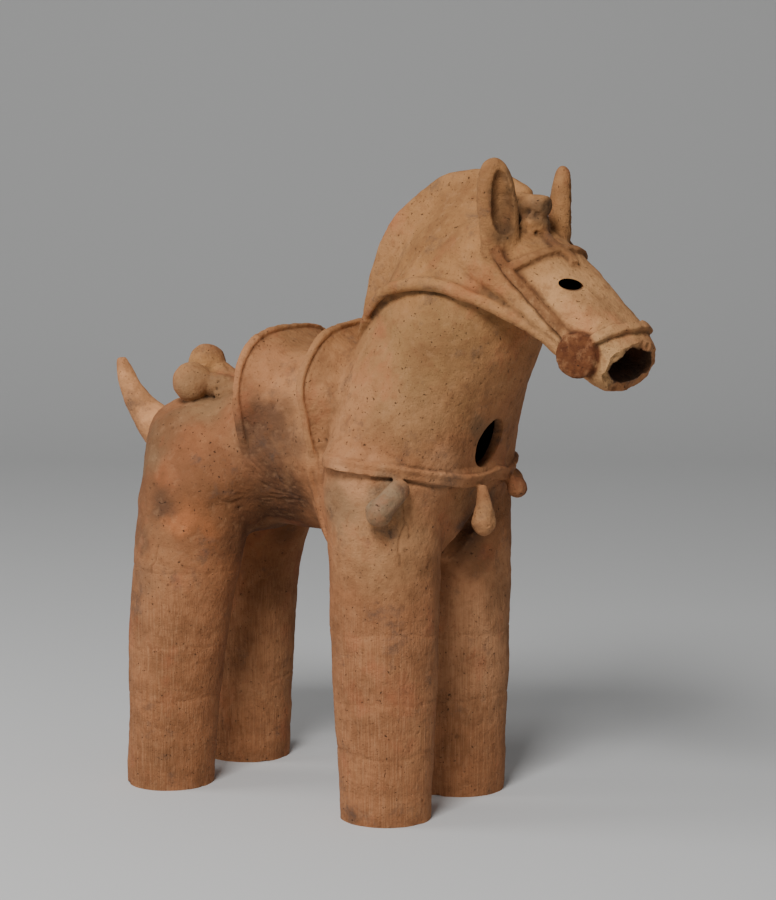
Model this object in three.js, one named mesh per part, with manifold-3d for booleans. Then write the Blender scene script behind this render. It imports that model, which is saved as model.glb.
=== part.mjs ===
// Haniwa horse: a hollow, coil-built and hand-smoothed terracotta horse standing on four open tube legs.
// Millimetres, Z up, the horse looks along +X, its left side is +Y, the feet stand on Z = 0.
import * as THREE from "three";
import { mergeVertices } from "three/addons/utils/BufferGeometryUtils.js";
import Module from "manifold-3d";

const wasm = await Module();
wasm.setup();
const { Manifold, Mesh } = wasm;

// Driving dimensions. X values below are measured from the middle of the four feet.
const WALL = 15; // thickness of the coil-built wall
const FEET_TO_MIDDLE = 101.5; // the whole outline's middle lies this far ahead of the feet's middle
const LEG_SPACING_X = 367; // between front and hind foot centres
const LEG_SPACING_Y = 194; // between right and left foot centres
const FRONT_FOOT_RADIUS = 63;
const HIND_FOOT_RADIUS = 62;
const FRONT_LEG_TOP_RADIUS = 77;
const HIND_LEG_TOP_RADIUS = 71;
const HIND_LEG_LEAN = 22; // the hind legs lean forward by this much at their tops
const LEG_TOP_Z = 345;
const SADDLE_RIM = 13; // thickness of the saddle's two upright rims
const POMMEL_X = 72;
const CANTLE_X = -46;
const HEAD_TURN = 8; // degrees, the head is turned a little to the horse's right
const HEAD_PIVOT_X = 230;
const BREAST_STRAP_Z = 478;
const BREAST_STRAP_HEIGHT = 19;
const BREAST_STRAP_OUT = 8;
const REIN_WIDTH = 14;
const REIN_OUT = 5;
const DISC_RADIUS = 28;
const CHEST_BELL_RADIUS = 18;
const RUMP_BELL_RADIUS = 27;

const RAD = Math.PI / 180;

// ---- solids from rings of points ----

// A closed body through a row of rings with the same number of points.
function loft(rings) {
  const n = rings[0].length;
  const points = rings.flat();
  const index = [];
  for (let r = 0; r + 1 < rings.length; r++) {
    for (let i = 0; i < n; i++) {
      const a = r * n + i;
      const b = r * n + ((i + 1) % n);
      index.push(a, b, b + n, a, b + n, a + n);
    }
  }
  const last = (rings.length - 1) * n;
  for (let i = 1; i + 1 < n; i++) {
    index.push(0, i + 1, i);
    index.push(last, last + i, last + i + 1);
  }
  return solidFrom(points, index);
}

// The solid of a closed triangle mesh, turned right way out when its rings ran the other way.
function solidFrom(points, index) {
  const geometry = new THREE.BufferGeometry().setFromPoints(points);
  geometry.setIndex(index);
  const made = manifoldOf(geometry, false);
  return made.volume() < 0 ? manifoldOf(geometry, true) : made;
}

function manifoldOf(geometry, reversed) {
  const bare = geometry.clone();
  for (const name of Object.keys(bare.attributes)) {
    if (name !== "position") bare.deleteAttribute(name);
  }
  const merged = mergeVertices(bare, 1e-4);
  const triVerts = new Uint32Array(merged.index.array);
  if (reversed) triVerts.reverse();
  return new Manifold(
    new Mesh({ numProp: 3, vertProperties: merged.attributes.position.array, triVerts }),
  );
}

// One superellipse ring: across and up are its two axes, a power of 2 gives an ellipse.
function ring(centre, across, up, halfAcross, halfUp, power, count) {
  const points = [];
  for (let i = 0; i < count; i++) {
    const angle = (i / count) * 2 * Math.PI;
    const c = Math.cos(angle);
    const s = Math.sin(angle);
    const x = Math.sign(c) * Math.abs(c) ** (2 / power) * halfAcross;
    const y = Math.sign(s) * Math.abs(s) ** (2 / power) * halfUp;
    points.push(centre.clone().addScaledVector(across, x).addScaledVector(up, y));
  }
  return points;
}

const AXIS_X = new THREE.Vector3(1, 0, 0);
const AXIS_Y = new THREE.Vector3(0, 1, 0);
const AXIS_Z = new THREE.Vector3(0, 0, 1);
const at = (x, y, z) => new THREE.Vector3(x, y, z);

// Level rings stacked upward: each level is [z, rear x, front x, half width, power].
function stack(levels, inset, count) {
  const rings = levels.map(([z, rear, front, half, power]) => {
    const centre = at((rear + front) / 2, 0, z);
    return ring(centre, AXIS_X, AXIS_Y, (front - rear) / 2 - inset, half - inset, power, count);
  });
  return loft(rings);
}

// Upright rings along X: each station is [x, belly z, back z, half width, power].
function barrel(stations, inset, count) {
  const rings = stations.map(([x, belly, back, half, power]) => {
    const centre = at(x, 0, (belly + back) / 2);
    return ring(centre, AXIS_Y, AXIS_Z, half - inset, (back - belly) / 2 - inset, power, count);
  });
  return loft(rings);
}

// A round tube along a curve, its radius running through the given values.
function taperedTube(path, radii, count, steps) {
  const curve = new THREE.CatmullRomCurve3(path);
  const frames = curve.computeFrenetFrames(steps, false);
  const rings = [];
  for (let i = 0; i <= steps; i++) {
    const t = i / steps;
    const slot = Math.min(radii.length - 2, Math.floor(t * (radii.length - 1)));
    const part = t * (radii.length - 1) - slot;
    const radius = radii[slot] + (radii[slot + 1] - radii[slot]) * part;
    const centre = curve.getPoint(t);
    rings.push(ring(centre, frames.normals[i], frames.binormals[i], radius, radius, 2, count));
  }
  return loft(rings);
}

function ball(centre, rx, ry, rz) {
  const geometry = new THREE.SphereGeometry(1, 10, 7);
  geometry.scale(rx, ry, rz);
  geometry.translate(centre.x, centre.y, centre.z);
  return manifoldOf(geometry, false);
}

function union(solids) {
  return solids.reduce((sum, solid) => sum.add(solid));
}

// ---- legs ----

// A slightly widening tube leg; the foot's edge is a little rounded off.
function leg(sideX, sideY, inset) {
  const x = (sideX * LEG_SPACING_X) / 2;
  const y = (sideY * LEG_SPACING_Y) / 2;
  const lean = sideX < 0 ? HIND_LEG_LEAN : 0;
  const top = (sideX > 0 ? FRONT_LEG_TOP_RADIUS : HIND_LEG_TOP_RADIUS) - inset;
  const foot = (sideX > 0 ? FRONT_FOOT_RADIUS : HIND_FOOT_RADIUS) - inset;
  const start = inset > 0 ? -2 : 0;
  const levels = [
    [start, foot, 0],
    [110, foot + (top - foot) * 0.4, 0.3],
    [LEG_TOP_Z, top, 1],
    [400, top - 8, 1.15],
    [450, top - 24, 1.3],
  ];
  const rings = levels.map(([z, radius, share]) => {
    const centre = at(x + lean * share, y * (1 - 0.02 * share), z);
    return ring(centre, AXIS_X, AXIS_Y, radius, radius, 2, inset > 0 ? 13 : 20);
  });
  return loft(rings);
}

function legs(inset) {
  return union([leg(1, 1, inset), leg(1, -1, inset), leg(-1, 1, inset), leg(-1, -1, inset)]);
}

// ---- body ----

const CHEST_AND_NECK = [
  [340, 138, 190, 66, 2.4],
  [350, 118, 206, 108, 2.6],
  [380, 104, 228, 144, 3.2],
  [420, 92, 252, 164, 3.1],
  [466, 84, 272, 167, 2.6],
  [510, 76, 287, 160, 2.2],
  [560, 76, 307, 150, 2.1],
  [610, 88, 330, 134, 2],
  [650, 103, 350, 118, 2],
  [700, 126, 368, 104, 2],
  [745, 142, 374, 98, 2],
  [785, 158, 366, 87, 2],
  [815, 180, 352, 70, 2],
  [840, 206, 336, 40, 2],
  [858, 230, 322, 20, 2],
];
const RUMP = [
  [350, -196, -122, 60, 2.2],
  [362, -226, -104, 110, 2.5],
  [382, -242, -84, 144, 2.7],
  [404, -249, -56, 156, 2.7],
  [430, -252, -16, 156, 2.5],
  [465, -254, -8, 144, 2.3],
  [497, -252, -30, 126, 2.2],
  [522, -240, -44, 102, 2.1],
  [541, -218, -50, 72, 2],
  [552, -190, -66, 42, 2],
];
const BARREL = [
  [-150, 392, 545, 104, 2.1],
  [-100, 382, 568, 104, 2.1],
  [-48, 376, 596, 104, 2.1],
  [10, 374, 612, 106, 2.1],
  [60, 374, 622, 114, 2.1],
  [110, 372, 630, 126, 2.1],
];

function body() {
  return union([stack(CHEST_AND_NECK, 0, 25), stack(RUMP, 0, 23), barrel(BARREL, 0, 18)]);
}

// The hollow inside the body, one wall thickness within it.
function bodyHollow() {
  const lift = (levels, low, high) =>
    levels.map(([z, ...rest]) => [THREE.MathUtils.clamp(z, low, high), ...rest]);
  const front = lift(CHEST_AND_NECK.slice(1), 350 + WALL, 770).slice(0, 11);
  const rear = lift(RUMP.slice(1), 352 + WALL, 550 - WALL).slice(0, 8);
  front[0][3] += 20;
  rear[0][3] += 20;
  return union([stack(front, WALL, 15), stack(rear, WALL, 14), barrel(BARREL, WALL, 12)]);
}

// ---- saddle ----

// An upright rim: an arch standing across the back, its front face sweeping down into the body.
// Each step of the sweep is [distance ahead of the rim, how much smaller the arch has become].
function saddleRim(x, outline, sweep) {
  const rim = [[0, 0], [SADDLE_RIM * 0.7, 0], [SADDLE_RIM, 0.03]];
  const rings = [...rim, ...sweep].map(([ahead, less]) => {
    const right = outline.map(([y, z]) => {
      return at(x + ahead, -y * (1 - less), 500 + (z - 500) * (1 - less));
    });
    const left = right.slice(0, -1).map((p) => at(p.x, -p.y, p.z));
    return [...right, ...left.reverse()];
  });
  return loft(rings);
}

const POMMEL_SWEEP = [[28, 0.1], [58, 0.22]];
const SEAT_SWEEP = [[26, 0.1], [60, 0.16], [100, 0.17], [132, 0.14]];
const POMMEL_OUTLINE = [
  [84, 476],
  [117, 492],
  [137, 543],
  [150, 582],
  [144, 610],
  [127, 631],
  [106, 649],
  [84, 660],
  [50, 667],
  [0, 670],
];
const CANTLE_OUTLINE = [
  [96, 476],
  [114, 490],
  [126, 534],
  [132, 570],
  [125, 600],
  [112, 624],
  [92, 641],
  [66, 650],
  [34, 655],
  [0, 656],
];

function saddle() {
  const pommel = saddleRim(POMMEL_X, POMMEL_OUTLINE, POMMEL_SWEEP);
  return pommel.add(saddleRim(CANTLE_X, CANTLE_OUTLINE, SEAT_SWEEP));
}

// ---- head ----

// Head sections: [top x, top z, under x, under z, half width, power], from the poll to the muzzle.
const HEAD = [
  [206, 790, 212, 730, 50, 2],
  [262, 822, 270, 722, 74, 2],
  [322, 834, 326, 708, 85, 2.1],
  [378, 804, 352, 690, 81, 2.4],
  [432, 766, 394, 668, 70, 2.6],
  [484, 727, 430, 640, 60, 2.5],
  [527, 689, 468, 614, 55, 2.3],
  [544, 666, 493, 604, 52, 2.2],
];

function turned(solid) {
  return solid.translate([-HEAD_PIVOT_X, 0, 0]).rotate([0, 0, -HEAD_TURN]).translate([HEAD_PIVOT_X, 0, 0]);
}

// One ring of the head between two of its sections; grow pushes it outward.
function headRing(place, grow, count) {
  const slot = Math.min(HEAD.length - 2, Math.floor(place));
  const part = place - slot;
  const [tx, tz, ux, uz, half, power] = HEAD[slot].map((v, i) => v + (HEAD[slot + 1][i] - v) * part);
  const top = at(tx, 0, tz);
  const under = at(ux, 0, uz);
  const up = top.clone().sub(under);
  const halfUp = up.length() / 2 + grow;
  const centre = top.clone().add(under).multiplyScalar(0.5);
  return ring(centre, AXIS_Y, up.normalize(), half + grow, halfUp, power, count);
}

function headShell() {
  return loft(HEAD.map((_, i) => headRing(i, 0, 24)));
}

// The head's hollow runs out through the open muzzle.
function headHollow() {
  const rings = [];
  for (let i = 0; i < HEAD.length; i++) {
    rings.push(headRing(i, i > 5 ? -WALL + 3 : -WALL, 16));
  }
  const beyond = rings[rings.length - 1].map((p) => p.clone().add(at(24, 0, -20)));
  return loft([...rings.slice(1), beyond]);
}

// A flat clay strip laid on the head, through points given as [place along the head, degrees from the top].
function strip(route, width, out) {
  const rings = route.map(([place, degrees], i) => {
    const here = onHead(place, degrees, 0);
    const next = onHead(...route[Math.min(i + 1, route.length - 1)], 0);
    const before = onHead(...route[Math.max(i - 1, 0)], 0);
    const along = next.clone().sub(before).normalize();
    const outward = onHead(place, degrees, 10).sub(here).normalize();
    const across = new THREE.Vector3().crossVectors(along, outward).normalize();
    const corner = (a, o) => here.clone().addScaledVector(across, a * width).addScaledVector(outward, o);
    return [corner(-0.5, -5), corner(0.5, -5), corner(0.42, out), corner(-0.42, out)];
  });
  return loft(rings);
}

// A point on the head's surface; positive degrees lie on the horse's right.
function onHead(place, degrees, grow) {
  const points = headRing(place, grow, 72);
  const step = (((90 + degrees) / 5) % 72 + 72) % 72;
  const slot = Math.floor(step);
  const part = step - slot;
  return points[slot].clone().lerp(points[(slot + 1) % 72], part);
}

function bridle() {
  const sides = [1, -1].flatMap((side) => [
    strip([[2.95, 52], [3.3, 66], [3.8, 72], [4.5, 76], [5.2, 84], [5.6, 88]].map(([p, d]) => [p, d * side]), REIN_WIDTH, REIN_OUT),
    cheekDisc(side),
  ]);
  const brow = strip([[3.55, 66], [3.6, 45], [3.62, 22], [3.65, 0], [3.62, -22], [3.6, -45], [3.55, -66]], REIN_WIDTH, REIN_OUT);
  const nose = strip([[5.9, 84], [5.95, 60], [6.1, 34], [6.15, 0], [6.1, -34], [5.95, -60], [5.9, -84]], REIN_WIDTH, REIN_OUT + 1);
  const lock = strip([[2.98, -8], [3.3, -4], [3.6, -1], [3.95, 0]], REIN_WIDTH - 2, REIN_OUT + 1);
  return union([...sides, brow, nose, lock]);
}

// The round cheek plate of the bit, a flat disc on the side of the muzzle.
function cheekDisc(side) {
  const disc = new THREE.CylinderGeometry(DISC_RADIUS - 3, DISC_RADIUS, 22, 16);
  const place = onHead(5.62, 97 * side, -3);
  disc.rotateZ(8 * side * RAD);
  if (side > 0) disc.rotateX(Math.PI);
  disc.translate(place.x, place.y, place.z);
  return manifoldOf(disc, false);
}

// An upright leaf-shaped ear with a deep groove facing forward and outward.
function ear(side, tipZ) {
  const outward = at(Math.cos(32 * RAD), -side * Math.sin(32 * RAD), 0);
  const across = new THREE.Vector3().crossVectors(AXIS_Z, outward);
  const base = at(357, -side * 70, 752);
  const tip = at(355, -side * 75, tipZ);
  const shape = [[0, 18, 16], [0.16, 25, 20], [0.4, 26, 18], [0.65, 25, 16], [0.82, 21, 13], [0.94, 13, 9], [1, 5, 3.5]];
  const rings = shape.map(([t, half, thick]) => {
    return ring(base.clone().lerp(tip, t), across, outward, half, thick, 2.2, 10);
  });
  const groove = [[0.27, 7, 6], [0.36, 14, 10], [0.6, 14, 10], [0.8, 11, 8], [0.92, 5, 3]];
  const cut = groove.map(([t, half, deep]) => {
    const thick = THREE.MathUtils.lerp(19, 12, t);
    return ring(base.clone().lerp(tip, t).addScaledVector(outward, thick), across, outward, half, deep, 2, 7);
  });
  return loft(rings).subtract(loft(cut));
}

// The mane: a thick upright clay crest from the saddle to the poll.
const CREST = [
  [84, 652],
  [89, 700],
  [97, 735],
  [110, 768],
  [128, 799],
  [152, 828],
  [188, 857],
  [222, 874],
  [262, 882],
  [300, 878],
  [332, 866],
  [354, 850],
];
function mane() {
  const heart = at(262, 0, 745);
  const rings = CREST.map(([x, z]) => {
    const edge = at(x, 0, z);
    const inward = heart.clone().sub(edge).normalize();
    const centre = edge.clone().addScaledVector(inward, 40);
    const points = [[-40, 7], [-32, 10], [0, 16], [40, 44]];
    const right = points.map(([d, y]) => centre.clone().addScaledVector(inward, d).add(at(0, -y, 0)));
    const left = points.map(([d, y]) => centre.clone().addScaledVector(inward, d).add(at(0, y, 0)));
    return [...right, ...left.reverse()];
  });
  return loft(rings);
}

// The tied forelock: a short stub of a roll at the mane's front end.
function forelock() {
  const stub = new THREE.CylinderGeometry(14, 15, 40, 12);
  stub.rotateZ(90 * RAD);
  stub.translate(366, 0, 836);
  return manifoldOf(stub, false).add(ball(at(346, 0, 822), 32, 24, 34));
}

// The edge of the head's clay sheet, laid as a thick lip over the neck.
function jawLip() {
  const lipOn = (side) => {
    const route = [[160, 88, 698], [205, 104, 729], [262, 107, 735], [318, 99, 719], [372, 86, 696], [424, 72, 667]];
    const path = route.map(([x, y, z]) => at(x, -side * y * 0.93, z));
    return taperedTube(path, [4, 9, 10, 10, 10, 8], 6, 9);
  };
  return lipOn(1).add(lipOn(-1));
}

// ---- strap, bells and tail ----

// The breast strap: a ledge running round the front from one foot of the pommel to the other.
function breastStrap() {
  const half = BREAST_STRAP_HEIGHT / 2;
  const out = BREAST_STRAP_OUT;
  const band = stack(
    [
      [BREAST_STRAP_Z - half, 60, 273 + out - 3, 165 + out - 3, 2.3],
      [BREAST_STRAP_Z - half + 3, 60, 274 + out, 165 + out, 2.3],
      [BREAST_STRAP_Z + half - 4, 60, 278 + out, 163 + out, 2.3],
      [BREAST_STRAP_Z + half + 12, 60, 280, 154, 2.3],
    ],
    0,
    24,
  );
  return band.trimByPlane([1, 0, 0], POMMEL_X + 16);
}

// A hanging bell: a ball below a short hooked stalk.
function chestBell(stalk, middle) {
  const lift = at(0, 0, CHEST_BELL_RADIUS * 0.6);
  const tube = taperedTube([stalk, stalk.clone().lerp(middle, 0.5).add(lift), middle], [9, 10, 13], 7, 3);
  return ball(middle, CHEST_BELL_RADIUS * 0.95, CHEST_BELL_RADIUS * 0.95, CHEST_BELL_RADIUS).add(tube);
}

function chestBells() {
  return union([
    chestBell(at(238, -140, 462), at(226, -172, 432)),
    chestBell(at(274, -24, 466), at(296, -30, 412)),
    chestBell(at(262, 66, 466), at(288, 72, 446)),
    chestBell(at(238, 140, 462), at(226, 172, 432)),
  ]);
}

// Two balls on the croup, each on a thick stalk growing from the back of the saddle.
function rumpBells() {
  const near = at(-168, -45, 572);
  const far = at(-180, 8, 590);
  const root = at(-62, -10, 560);
  return union([
    ball(near, RUMP_BELL_RADIUS, RUMP_BELL_RADIUS, RUMP_BELL_RADIUS),
    ball(far, RUMP_BELL_RADIUS - 2, RUMP_BELL_RADIUS - 2, RUMP_BELL_RADIUS - 2),
    taperedTube([root, at(-110, -30, 575), near], [34, 20, 13], 9, 4),
    taperedTube([root, at(-115, 0, 588), far], [34, 19, 13], 9, 4),
  ]);
}

function tail() {
  const path = [at(-222, 0, 468), at(-274, 0, 500), at(-309, 0, 535), at(-331, 0, 588)];
  const cone = taperedTube(path, [41, 30, 18, 8], 12, 7);
  return cone.add(ball(at(-331, 0, 588), 8, 8, 6));
}

// ---- openings ----

// An eye: a level oval hole through the side of the face.
function eyeHole(side) {
  const hole = new THREE.CylinderGeometry(1, 1, 96, 12);
  hole.scale(17, 1, 7.5);
  hole.rotateY(12 * side * RAD);
  hole.rotateZ(side * 48 * RAD);
  const place = side > 0 ? onHead(4.44, 25, 0) : onHead(4.4, -46, 0);
  hole.translate(place.x, place.y, place.z);
  return manifoldOf(hole, false);
}

function chestHole() {
  const hole = new THREE.CylinderGeometry(1, 1, 90, 16);
  hole.scale(31, 1, 35);
  hole.rotateZ(90 * RAD);
  hole.translate(280, -6, 514);
  return manifoldOf(hole, false);
}

// ---- the horse ----

function horse() {
  const head = turned(union([headShell(), bridle(), ear(1, 900), ear(-1, 886), forelock()]));
  const outside = union([legs(0), body(), saddle(), head, mane(), jawLip(), breastStrap(), chestBells(), rumpBells(), tail()]);
  const hollow = union([legs(WALL), bodyHollow(), turned(headHollow())]);
  const holes = union([turned(eyeHole(1)), turned(eyeHole(-1)), chestHole()]);
  return outside.subtract(hollow).subtract(holes).translate([-FEET_TO_MIDDLE, 0, 0]);
}

// A three.js mesh of a finished solid.
function meshOf(name, solid, colour) {
  const { vertProperties, numProp, triVerts } = solid.getMesh();
  const positions = new Float32Array((vertProperties.length / numProp) * 3);
  for (let i = 0; i < positions.length / 3; i++) {
    for (let k = 0; k < 3; k++) positions[i * 3 + k] = vertProperties[i * numProp + k];
  }
  const geometry = new THREE.BufferGeometry();
  geometry.setAttribute("position", new THREE.BufferAttribute(positions, 3));
  geometry.setIndex(new THREE.BufferAttribute(new Uint32Array(triVerts), 1));
  const material = new THREE.MeshStandardMaterial({ color: colour, roughness: 0.9, metalness: 0 });
  const mesh = new THREE.Mesh(geometry, material);
  mesh.name = name;
  return mesh;
}

const group = new THREE.Group();
group.name = "haniwa_horse";
group.add(meshOf("horse_body", horse(), 0xb98a5e));
export default group;
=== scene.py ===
import math
import random

import bmesh
import bpy
import numpy as np
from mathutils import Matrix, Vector, noise
from mathutils.bvhtree import BVHTree


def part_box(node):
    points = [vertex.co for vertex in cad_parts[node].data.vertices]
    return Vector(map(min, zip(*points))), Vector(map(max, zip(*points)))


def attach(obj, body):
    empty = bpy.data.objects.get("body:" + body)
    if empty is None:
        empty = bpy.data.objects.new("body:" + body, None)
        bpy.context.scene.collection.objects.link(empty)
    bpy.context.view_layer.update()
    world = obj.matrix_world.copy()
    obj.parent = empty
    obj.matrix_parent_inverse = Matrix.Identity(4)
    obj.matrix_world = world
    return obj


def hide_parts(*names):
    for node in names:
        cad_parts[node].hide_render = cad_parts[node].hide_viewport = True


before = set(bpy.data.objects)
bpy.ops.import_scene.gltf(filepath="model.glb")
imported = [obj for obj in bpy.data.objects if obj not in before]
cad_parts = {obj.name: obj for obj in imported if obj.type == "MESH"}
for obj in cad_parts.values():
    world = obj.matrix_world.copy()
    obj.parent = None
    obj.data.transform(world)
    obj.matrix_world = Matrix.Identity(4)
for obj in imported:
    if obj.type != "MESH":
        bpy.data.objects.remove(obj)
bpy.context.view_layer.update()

# ---- the trunk and neck ----
# The body is two stout hollow barrels, chest and hindquarters, joined by a narrower trunk, with the
# neck drawn up out of the chest. It is raised in coils of clay and the coils are rubbed smooth.

MM = 0.001
FEET_TO_MIDDLE = 101.5  # places below are in mm from the middle of the four feet
WALL = 15
UPRIGHT = Vector((0, 0, 1))
FORWARD = Vector((1, 0, 0))
LEFTWARD = Vector((0, 1, 0))


def at(x, y, z):
    """A place in metres from millimetres measured from the middle of the feet."""
    return Vector((x - FEET_TO_MIDDLE, y, z)) * MM


def coil(middle, across, up, half_across, half_up, fullness=2.0, beads=40):
    """The outline of one coil: an oval, squarer as its fullness rises above 2. Sizes are in mm."""
    outline = []
    for bead in range(beads):
        turn = 2 * math.pi * bead / beads
        out = math.copysign(abs(math.cos(turn)) ** (2 / fullness), math.cos(turn))
        lift = math.copysign(abs(math.sin(turn)) ** (2 / fullness), math.sin(turn))
        outline.append(middle + across * (out * half_across * MM) + up * (lift * half_up * MM))
    return outline


def raise_form(name, coils, rubbing=2):
    """Lays closed outlines on each other from first to last and rubs the steps between them smooth."""
    bpy.ops.object.select_all(action="DESELECT")
    bpy.ops.mesh.primitive_circle_add(vertices=len(coils[0]), radius=1, fill_type="NGON")
    form = bpy.context.object
    form.name = name
    bpy.ops.object.mode_set(mode="EDIT")
    clay = bmesh.from_edit_mesh(form.data)
    bead = clay.verts.layers.int.new("bead")
    clay.faces.ensure_lookup_table()
    for number, vert in enumerate(clay.faces[0].verts):
        vert[bead] = number
    for number, outline in enumerate(coils):
        if number:
            bpy.ops.mesh.extrude_region_move()
        clay = bmesh.from_edit_mesh(form.data)
        bead = clay.verts.layers.int["bead"]
        for vert in clay.verts:
            if vert.select:
                vert.co = outline[vert[bead]]
        bmesh.update_edit_mesh(form.data)
    bpy.ops.mesh.select_all(action="SELECT")
    bpy.ops.mesh.normals_make_consistent(inside=False)
    bpy.ops.object.mode_set(mode="OBJECT")
    if rubbing:
        finish_with(form, "SUBSURF", levels=rubbing, render_levels=rubbing)
    return form


def finish_with(form, kind, **settings):
    """Adds a modifier with its settings and applies it at once."""
    bpy.ops.object.select_all(action="DESELECT")
    form.select_set(True)
    bpy.context.view_layer.objects.active = form
    step = form.modifiers.new(kind.lower(), kind)
    for setting, value in settings.items():
        setattr(step, setting, value)
    bpy.ops.object.modifier_apply(modifier=step.name)


# Level coils from the breast up to the poll: z, rear x, front x, half width, fullness.
CHEST_AND_NECK = [
    (338, 138, 190, 66, 2.4),
    (352, 118, 224, 112, 2.6),
    (380, 100, 245, 147, 3.0),
    (420, 88, 258, 166, 3.0),
    (466, 82, 276, 169, 2.6),
    (510, 74, 290, 162, 2.2),
    (560, 74, 310, 152, 2.1),
    (610, 86, 333, 136, 2),
    (650, 101, 353, 120, 2),
    (700, 124, 371, 106, 2),
    (745, 150, 377, 97, 2),
    (785, 172, 367, 80, 2),
    (815, 200, 353, 56, 2),
    (840, 232, 337, 32, 2),
    (860, 256, 322, 18, 2),
]
# Level coils of the hindquarters, from the arch of the belly to the croup.
HINDQUARTERS = [
    (350, -200, -120, 60, 2.2),
    (364, -228, -102, 112, 2.5),
    (384, -240, -80, 146, 2.6),
    (404, -246, -54, 156, 2.5),
    (430, -247, -14, 152, 2.3),
    (465, -252, -8, 140, 2.2),
    (497, -257, -28, 126, 2.1),
    (522, -251, -42, 105, 2.1),
    (541, -230, -48, 76, 2),
    (553, -194, -62, 44, 2),
]
# Upright coils of the trunk under the saddle: x, belly z, back z, half width.
TRUNK = [
    (-170, 398, 540, 104),
    (-100, 384, 568, 106),
    (-48, 375, 598, 106),
    (10, 372, 614, 108),
    (60, 371, 624, 116),
    (120, 366, 632, 128),
]
# Level coils of the two webs that carry the flank down to a front and a hind leg.
FRONT_WEB = [
    (336, 108, 165, 103, 2.8),
    (348, 95, 165, 106, 2.8),
    (362, 79, 165, 111, 2.8),
    (380, 66, 165, 115, 2.8),
    (402, 55, 170, 117, 2.7),
    (422, 44, 175, 118, 2.5),
    (440, 22, 175, 116, 2.4),
    (458, -6, 175, 110, 2.4),
]
HIND_WEB = [
    (358, -165, -56, 88, 2.4),
    (378, -172, -40, 104, 2.4),
    (400, -176, -25, 110, 2.4),
    (424, -180, -10, 112, 2.4),
    (448, -180, 8, 108, 2.4),
]


def level_coils(rows, less=0):
    """Outlines lying level, drawn in by less where they line the hollow."""
    return [
        coil(at((rear + front) / 2, 0, z), FORWARD, LEFTWARD, (front - rear) / 2 - less, half - less, full)
        for z, rear, front, half, full in rows
    ]


def upright_coils(rows, less=0):
    """Outlines standing across the trunk."""
    return [
        coil(at(x, 0, (belly + back) / 2), LEFTWARD, UPRIGHT, half - less, (back - belly) / 2 - less, 2.2)
        for x, belly, back, half in rows
    ]


chest = raise_form("chest_and_neck", level_coils(CHEST_AND_NECK))
hindquarters = raise_form("hindquarters", level_coils(HINDQUARTERS))
trunk = raise_form("trunk", upright_coils(TRUNK))
webs = [raise_form("web", level_coils(FRONT_WEB)), raise_form("web", level_coils(HIND_WEB))]

# ---- the legs ----
# Four plain tubes of clay, open at the foot, a little wider towards the body. The hind pair leans
# forward. Each was made like a tubular jar and then joined under the body.

LEG_SPACING_X = 367
LEG_SPACING_Y = 194


def leg_coils(fore, side, less=0, foot=-40):
    """The coils of one leg; fore is 1 at the front and -1 behind, side is 1 on the left."""
    # z, radius, how far the coil leans forward, and how far its front edge flares towards the belly
    if fore > 0:
        rows = [(foot, 61, 0, 0), (0, 63, 0, 0), (110, 68, -1, 0), (230, 73, -3, 0), (345, 77, -4, 0)]
        rows += [(395, 77, -4, 0), (440, 74, -2, 0), (472, 64, 0, 0)]
    elif side < 0:
        rows = [(foot, 60, 0, 0), (0, 62, 0, 0), (110, 65, 7, 0), (230, 68, 14, 7), (285, 69, 18, 15)]
        rows += [(325, 70, 21, 23), (350, 70, 22, 30), (385, 66, 24, 40), (430, 54, 26, 44)]
    else:
        rows = [(foot, 60, 0, 0), (0, 62, 0, 0), (110, 65, 1, 0), (230, 68, 6, 0), (285, 69, 10, 1)]
        rows += [(325, 70, 15, 6), (350, 70, 18, 14), (385, 66, 22, 34), (430, 54, 26, 44)]
    coils = []
    for z, radius, lean, flare in rows:
        drawn_in = 1 - 0.02 * max(z, 0) / 345
        middle = at(fore * LEG_SPACING_X / 2 + lean + flare / 2, side * LEG_SPACING_Y / 2 * drawn_in, z)
        coils.append(coil(middle, FORWARD, LEFTWARD, radius + flare / 2 - less, radius - less))
    return coils


CORNERS = [(1, -1), (1, 1), (-1, -1), (-1, 1)]
legs = [raise_form("leg", leg_coils(fore, side)) for fore, side in CORNERS]

# ---- the saddle ----
# Two upright clay rims stand across the back, the pommel in front and the cantle behind. Each has a
# crisp rear edge and a flat band, then sweeps down smoothly ahead, the cantle into the seat.

RIM = 11


def between(a, b, c, d, t):
    """A value a share t of the way from b to c, on a smooth curve that follows a and d too."""
    slope = (c - a) * t
    bow = (2 * a - 5 * b + 4 * c - d) * t * t
    twist = (3 * b - a - 3 * c + d) * t**3
    return 0.5 * (2 * b + slope + bow + twist)


def run_smooth(rows, steps):
    """More rows between the given ones, on a smooth curve through them."""
    rows = [tuple(row) for row in rows]
    fuller = []
    for number in range(len(rows) - 1):
        before = rows[max(number - 1, 0)]
        start, end = rows[number], rows[number + 1]
        after = rows[min(number + 2, len(rows) - 1)]
        for step in range(steps):
            near_rows = zip(before, start, end, after)
            fuller.append(tuple(between(*values, step / steps) for values in near_rows))
    return fuller + [rows[-1]]


# The rims' outlines on one side: y and z from the flank up to the middle of the back.
POMMEL = [
    (92, 476), (119, 492), (138, 543), (150, 582), (144, 610),
    (127, 631), (106, 649), (84, 660), (50, 667), (0, 670),
]
SEAT = [
    (106, 470), (108, 500), (109, 534), (109, 562), (104, 583),
    (93, 602), (75, 616), (54, 624), (28, 628), (0, 629),
]
CANTLE = [
    (98, 478), (113, 488), (126, 534), (133, 570), (127, 600),
    (113, 624), (92, 641), (66, 651), (34, 655), (0, 656),
]


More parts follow.
